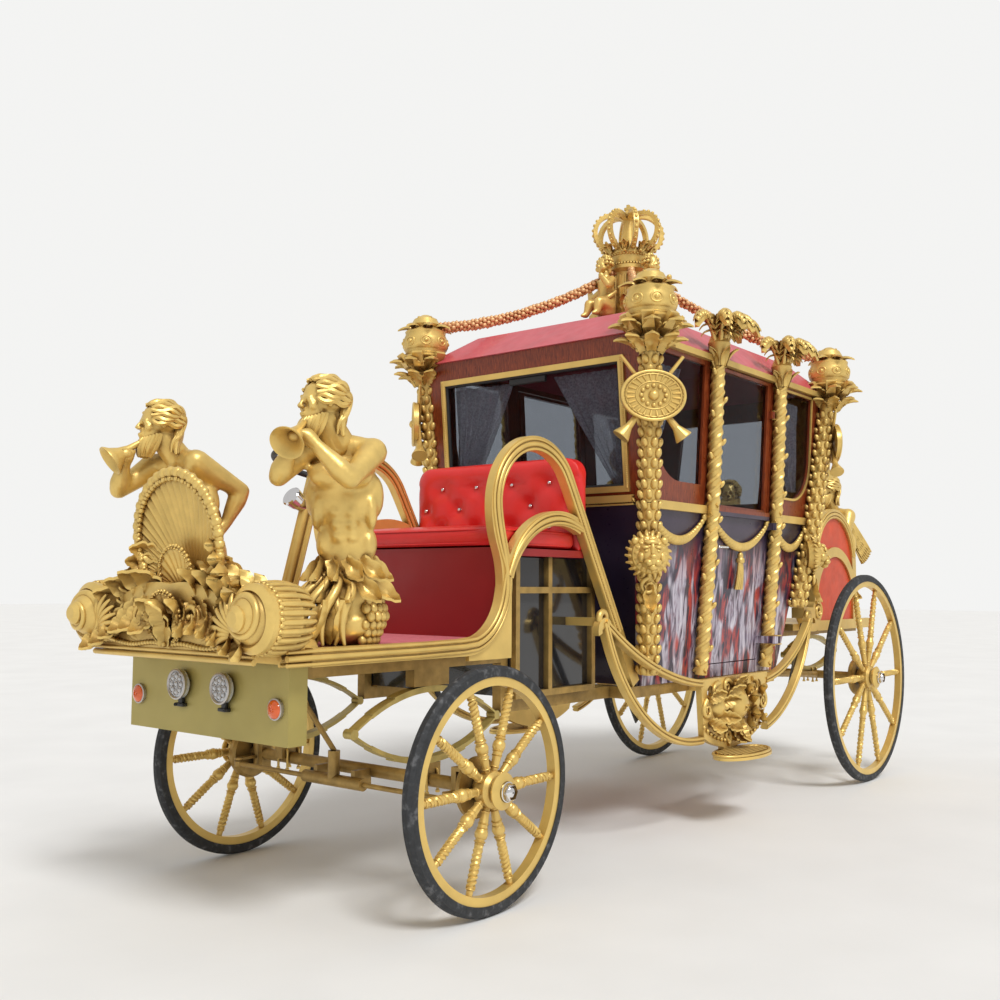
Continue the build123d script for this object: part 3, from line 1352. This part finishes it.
# The big scallop on the cresting, and a small one in front of its foot: each row is station, foot height, radius,
# the rise of its middle and its thickness
SHELL_RIBS = 13
SHELL_SPREAD = 84.0
SHELL_LEAN = 8.0
SHELL_BULGE = 1.045
SHELLS = ((890.0, 1292.0, 275.0, 245.0, 56.0), (985.0, 1120.0, 108.0, 96.0, 40.0))
with BuildPart() as prow_shell:
    for foot_x, foot_z, reach_r, rise, thickness in SHELLS:
        scallop(foot_x, foot_z, reach_r, rise, thickness)
    clear_of(prow_scrolls)
keep("prow_shell", prow_shell)


def limb(rows):
    """Adds a limb: each row is a point and a radius, with a round joint at every inner point."""
    for (start, size), (end, end_size) in zip(rows, rows[1:]):
        rod(start, end, size, end_size)
    for point, size in rows[1:-1]:
        with Locations(point):
            Sphere(size * JOINT_SWELL)


def torso(heading, rows):
    """Adds a body through level stadiums: each row is station, y, height, width and depth."""
    across = Vector(-sin(radians(heading)), cos(radians(heading)), 0)
    faces = []
    for x, y, z, width, depth in rows:
        with BuildSketch(Plane(origin=(ahead(x), y, z), x_dir=across, z_dir=(0, 0, 1))) as level:
            SlotOverall(width, depth)
        faces.append(level.sketch)
    loft(faces, ruled=True)


# Triton figures on the front deck. A body's rows are station, y, height, width and depth. A limb's rows are
# station, y, height and radius. The right-hand figure leans further forward than the left-hand one.
JOINT_SWELL = 1.05
TRITON_X = 412.0
TRITON_Y = 425.0
TRITON_COIL = ((0, 138), (50, 165), (125, 162), (215, 126), (275, 100))
TRITON_FINS = ((640.0, 330.0, 1125.0), (655.0, 400.0, 1190.0), (640.0, 300.0, 1230.0), (610.0, 380.0, 1320.0))
TRITONS = (
    (
        1,
        42.0,
        (
            (455, 438, 1330, 235, 200),
            (490, 452, 1430, 262, 190),
            (505, 462, 1560, 225, 150),
            (545, 475, 1790, 290, 180),
            (560, 475, 1885, 230, 110),
        ),
        (
            ((565, 475, 1860, 52), (630, 472, 1975, 48)),
            ((462, 578, 1850, 56), (655, 640, 1722, 44), (775, 515, 1885, 30)),
            ((655, 372, 1858, 56), (800, 405, 1738, 44), (805, 490, 1865, 30)),
            ((712, 488, 1935, 16), (862, 532, 1850, 62)),
        ),
        ((655, 470, 2046, 84), (598, 470, 1985, 66), (690, 470, 1985, 50)),
    ),
    (
        -1,
        -12.0,
        (
            (455, -438, 1330, 235, 200),
            (490, -452, 1430, 262, 190),
            (540, -462, 1560, 225, 150),
            (625, -470, 1790, 290, 180),
            (655, -472, 1885, 230, 110),
        ),
        (
            ((660, -475, 1860, 52), (712, -490, 1960, 48)),
            ((650, -345, 1855, 54), (420, -305, 1742, 44), (500, -352, 1560, 34)),
            ((690, -600, 1850, 54), (850, -612, 1730, 44), (868, -528, 1865, 30)),
            ((800, -508, 1920, 16), (935, -545, 1850, 62)),
        ),
        ((735, -498, 2030, 84), (680, -490, 1970, 66), (770, -500, 1968, 50)),
    ),
)
with BuildPart() as triton_figures:
    for side, heading, body, limbs, balls in TRITONS:
        turned((ahead(TRITON_X), side * TRITON_Y, FLOOR_Z), (0, 0, 1), TRITON_COIL)
        for x, y, z in TRITON_FINS:
            rod((ahead(TRITON_X) + 40, side * TRITON_Y, FLOOR_Z + 130), (ahead(x), side * y, z), 70, 22)
        torso(heading, body)
        for rows in limbs:
            limb([((ahead(x), y, z), size) for x, y, z, size in rows])
        for x, y, z, size in balls:
            with Locations((ahead(x), y, z)):
                Sphere(size)
    clear_of(prow_shell, prow_scrolls, armrest_loops)
keep("triton_figures", triton_figures)

# Steering column: a leaning post on a flange with a pipe beside it, the gauge pod and the steering wheel
COLUMN_HEAD = (270.0, 1800.0)
COLUMN_R = 30.0
PIPE_R = 12.0
PIPE_Y = 50.0
PIPE_DROP = 60.0
CLIP_DROP = 100.0
CLIP = (20.0, 40.0)
FLANGE_R = 74.0
FLANGE_THICKNESS = 16.0
POD_DROP = 150.0
POD_AXIS = (1, 0, 0.6)
POD_PROFILE = ((0, 20), (60, 40), (100, 46), (106, 40))
WHEEL_RIM_R = 190.0
RIM_GRIP_R = 14.0
WHEEL_GAP = 6.0
WHEEL_HUB_R = 36.0
WHEEL_HUB = 56.0
WHEEL_DISH = 22.0
WHEEL_SPOKE_R = 9.0
foot = Vector(ahead(COLUMN_FOOT), 0, FLOOR_Z)
head = Vector(ahead(COLUMN_HEAD[0]), 0, COLUMN_HEAD[1])
lean = (head - foot).normalized()
with BuildPart() as steering_column:
    turned(foot, (0, 0, 1), ((0, FLANGE_R), (FLANGE_THICKNESS, FLANGE_R)))
    rod(foot + lean * (FLANGE_THICKNESS * 0.6), head, COLUMN_R)
    pipe = Vector(0, PIPE_Y, 0)
    rod(foot + lean * (FLANGE_THICKNESS * 0.6) + pipe, head - lean * PIPE_DROP + pipe, PIPE_R)
    clip = head - lean * CLIP_DROP
    block(clip.X - CLIP[0] / 2, clip.X + CLIP[0] / 2, 0, PIPE_Y, clip.Z - CLIP[1] / 2, clip.Z + CLIP[1] / 2)
keep("steering_column", steering_column)
with BuildPart() as gauge_pod:
    turned(head - lean * POD_DROP, POD_AXIS, POD_PROFILE)
    clear_of(steering_column)
keep("gauge_pod", gauge_pod)
with BuildPart() as wheel_form:
    Torus(WHEEL_RIM_R, RIM_GRIP_R)
    with Locations((0, 0, -WHEEL_DISH)):
        Cylinder(WHEEL_HUB_R, WHEEL_HUB)
    for angle in (90, 210, 330):
        heading = Vector(cos(radians(angle)), sin(radians(angle)), 0)
        rod(heading * 20 - Vector(0, 0, WHEEL_DISH), heading * WHEEL_RIM_R, WHEEL_SPOKE_R)
with BuildPart() as steering_wheel:
    rise = WHEEL_GAP + WHEEL_DISH + WHEEL_HUB / 2
    with Locations(Plane(origin=head + lean * rise, x_dir=(0, 1, 0), z_dir=lean)):
        add(wheel_form.part)
keep("steering_wheel", steering_wheel)

# Rear: loops like the armrests with a scrolled leg down to the cab's sling, and the panels that fill them
REAR_BIG = (-148.0, 1505.0, 355.0)
REAR_SMALL_RISE = 76.0
REAR_SMALL_FOOT = 200.0
REAR_LEG = (500.0, 1270.0)
REAR_VOLUTE = (196.0, 1160.0, 80.0)
REAR_PANEL = 12.0
with BuildPart() as rear_loops:
    x, z, r = REAR_AXLE_X + REAR_BIG[0], REAR_BIG[1], REAR_BIG[2]
    with BuildSketch(Plane.XZ.offset(-LOOP_Y)) as loops:
        with BuildLine():
            Line((x + r, RAIL_MIDDLE), (x + r, z))
            ThreePointArc((x + r, z), (x, z + r), (x - r, z))
            Line((x - r, z), (x - r, RAIL_MIDDLE))
        trace(line_width=LOOP_DEPTH)
        with BuildLine():
            foot = z - REAR_SMALL_FOOT
            ThreePointArc((x + r, foot), (x, z + REAR_SMALL_RISE), (x - r, foot))
        trace(line_width=LOOP_DEPTH)
        with BuildLine():
            Line((REAR_AXLE_X + REAR_VOLUTE[0], RAIL_MIDDLE), (REAR_AXLE_X + REAR_DECK_REAR, RAIL_MIDDLE))
        trace(line_width=LOOP_DEPTH)
        with BuildLine():
            ThreePointArc(
                (REAR_AXLE_X + REAR_VOLUTE[0], RAIL_MIDDLE),
                (REAR_AXLE_X + REAR_LEG[0] - 90, RAIL_MIDDLE + 40),
                (REAR_AXLE_X + REAR_LEG[0], REAR_LEG[1]),
            )
        trace(line_width=LOOP_DEPTH * 0.8)
        with Locations((REAR_AXLE_X + REAR_VOLUTE[0], REAR_VOLUTE[1])):
            Circle(REAR_VOLUTE[2])
    extrude(amount=LOOP_WIDTH / 2, both=True)
    mirror(about=Plane.XZ)
keep("rear_loops", rear_loops)

with BuildPart() as rear_panels:
    with BuildSketch(Plane.XZ.offset(-LOOP_Y)):
        with BuildLine():
            Line((x + r, RAIL_MIDDLE), (x + r, z))
            ThreePointArc((x + r, z), (x, z + r), (x - r, z))
            Line((x - r, z), (x - r, RAIL_MIDDLE))
            Line((x - r, RAIL_MIDDLE), (x + r, RAIL_MIDDLE))
        make_face()
    extrude(amount=REAR_PANEL / 2, both=True)
    clear_of(rear_loops)
    mirror(about=Plane.XZ)
keep("rear_panels", rear_panels)

# Rear figures: the same rows as the tritons', measured from the rear axle, with a folded wing at the back
REAR_FIGURE_X = -600.0
REAR_FIGURE_Y = 385.0
REAR_COIL = ((0, 120), (60, 145), (160, 135), (250, 100), (300, 92))
REAR_BODY = (
    (-590, 385, 1340, 200, 175),
    (-640, 388, 1440, 225, 165),
    (-650, 392, 1560, 195, 140),
    (-600, 398, 1790, 260, 170),
    (-575, 400, 1900, 200, 100),
)
REAR_LIMBS = (
    ((-575, 400, 1880, 48), (-470, 402, 1990, 46)),
    ((-590, 520, 1870, 50), (-480, 535, 1700, 40), (-340, 470, 1690, 30)),
    ((-590, 285, 1870, 50), (-480, 270, 1700, 40), (-340, 330, 1690, 30)),
    ((-660, 400, 1880, 80), (-860, 410, 1700, 60), (-890, 410, 1560, 26)),
)
REAR_BALLS = ((-425, 404, 2090, 88), (-475, 402, 2040, 66))
with BuildPart() as rear_figures:
    turned((REAR_AXLE_X + REAR_FIGURE_X, REAR_FIGURE_Y, CARPET_Z), (0, 0, 1), REAR_COIL)
    shift = REAR_AXLE_X - FRONT_AXLE_X
    torso(0, [(x + shift, y, z, width, depth) for x, y, z, width, depth in REAR_BODY])
    for rows in REAR_LIMBS:
        limb([((REAR_AXLE_X + x, y, z), size) for x, y, z, size in rows])
    for x, y, z, size in REAR_BALLS:
        with Locations((REAR_AXLE_X + x, y, z)):
            Sphere(size)
    with Locations((REAR_AXLE_X - REAR_REACH + 50, 410, 1640)):
        Sphere(50)
    clear_of(rear_loops, rear_panels)
    mirror(about=Plane.XZ)
keep("rear_figures", rear_figures)

# Roof group: the pedestal with the crown, four seated children, a bird, and the garlands to the corners
ROOF_X = ahead(-2340)
ROOF_Z = CAB_EAVE_Z + ROOF_STEPS[2][0]
PEDESTAL = ((0, 135), (36, 135), (52, 112), (90, 104), (330, 98), (350, 120), (372, 120), (390, 96))
CROWN_RIM = ((0, 112), (46, 118), (60, 128), (84, 128), (96, 112))
CROWN_Z = ROOF_Z + 389
CROWN_TOP = 3775.0
CROWN_ARCHES = 4
CROWN_ARCH = ((104.0, 90.0), (215.0, 190.0), (24.0, 300.0))
CROWN_BAND = 26.0
CROWN_BAND_HALF = 15.0
ORB_R = 42.0
with BuildPart() as crown:
    turned((ROOF_X, 0, ROOF_Z), (0, 0, 1), PEDESTAL)
    turned((ROOF_X, 0, CROWN_Z), (0, 0, 1), CROWN_RIM)
    rod((ROOF_X, 0, CROWN_Z + 40), (ROOF_X, 0, CROWN_Z + 300), 60, 34)
    for number in range(CROWN_ARCHES * 2):
        heading = Vector(cos(pi * number / CROWN_ARCHES), sin(pi * number / CROWN_ARCHES), 0)
        flat = Plane(origin=(ROOF_X, 0, CROWN_Z), x_dir=heading, z_dir=heading.cross(Vector(0, 0, 1)))
        with BuildSketch(flat) as arch:
            with BuildLine():
                ThreePointArc(*CROWN_ARCH)
            trace(line_width=CROWN_BAND)
        extrude(arch.sketch, CROWN_BAND_HALF, both=True)
    with Locations((ROOF_X, 0, CROWN_Z + 318)):
        Sphere(ORB_R)
    block(ROOF_X - 9, ROOF_X + 9, -9, 9, CROWN_Z + 330, CROWN_TOP)
    block(ROOF_X - 9, ROOF_X + 9, -26, 26, CROWN_TOP - 34, CROWN_TOP - 16)
keep("crown", crown)

# A seated child faces away from the pedestal: each row is outward, sideways, height and radius
CHILDREN = (-15.0, 75.0, 165.0, 255.0)
CHILD_SEAT = 195.0
CHILD_BODY = (
    ((0, 0, 0, 68), (0, 0, 72, 62), (-14, 0, 150, 54), (0, 0, 235, 56), (6, 0, 290, 30)),
    ((0, 34, 74, 40), (96, 44, 92, 32), (112, 46, 12, 24)),
    ((0, -34, 74, 40), (96, -44, 92, 32), (120, -50, 10, 24)),
    ((0, 56, 240, 28), (60, 92, 190, 22), (100, 70, 250, 18)),
    ((0, -56, 240, 28), (-70, -96, 210, 22), (-96, -96, 300, 18)),
)
CHILD_HEAD = (16.0, 0.0, 340.0, 56.0)
# A bird stands behind them: station from the pedestal, y, height and radius
BIRD = (
    ((-430, 0, 0, 44), (-430, 0, 48, 40), (-470, 0, 120, 66), (-440, 0, 235, 40), (-415, 0, 300, 34)),
    ((-450, 0, 120, 50), (-560, 0, 90, 30)),
)
with BuildPart() as roof_figures:
    for heading in CHILDREN:
        out = Vector(cos(radians(heading)), sin(radians(heading)), 0)
        across = Vector(-out.Y, out.X, 0)
        seat = Vector(ROOF_X, 0, ROOF_Z) + out * CHILD_SEAT
        for rows in CHILD_BODY:
            limb([(tuple(seat + out * a + across * b + Vector(0, 0, c)), size) for a, b, c, size in rows])
        a, b, c, size = CHILD_HEAD
        with Locations(tuple(seat + out * a + across * b + Vector(0, 0, c))):
            Sphere(size)
    for rows in BIRD:
        limb([((ROOF_X + a, b, ROOF_Z + c), size) for a, b, c, size in rows])
    clear_of(crown)
keep("roof_figures", roof_figures)

# Garlands from the pedestal to the corner capitals
GARLAND_R = 28.0
PALM_CORNERS = (-1300.0, -3640.0)
GARLAND_SAG = 70.0
GARLAND_START = (70.0, 60.0, 330.0)
GARLAND_END = (60.0, 730.0, 190.0)
with BuildPart() as garlands:
    for way, corner in ((1, PALM_CORNERS[0]), (-1, PALM_CORNERS[1])):
        for side in (1, -1):
            out, across, rise = GARLAND_START
            start = Vector(ROOF_X + way * out, side * across, ROOF_Z + rise)
            out, across, rise = GARLAND_END
            end = Vector(ahead(corner) - way * out, side * across, PALM_Z + rise)
            middle = (start + end) * 0.5 - Vector(0, 0, GARLAND_SAG)
            limb([(tuple(start), GARLAND_R), (tuple(middle), GARLAND_R), (tuple(end), GARLAND_R)])
    clear_of(crown, roof_figures, palm_pillars, cab_roof)
keep("garlands", garlands)

os.makedirs("parts", exist_ok=True)
for label, piece in PIECES.items():
    export_step(piece, f"parts/{label}.step")
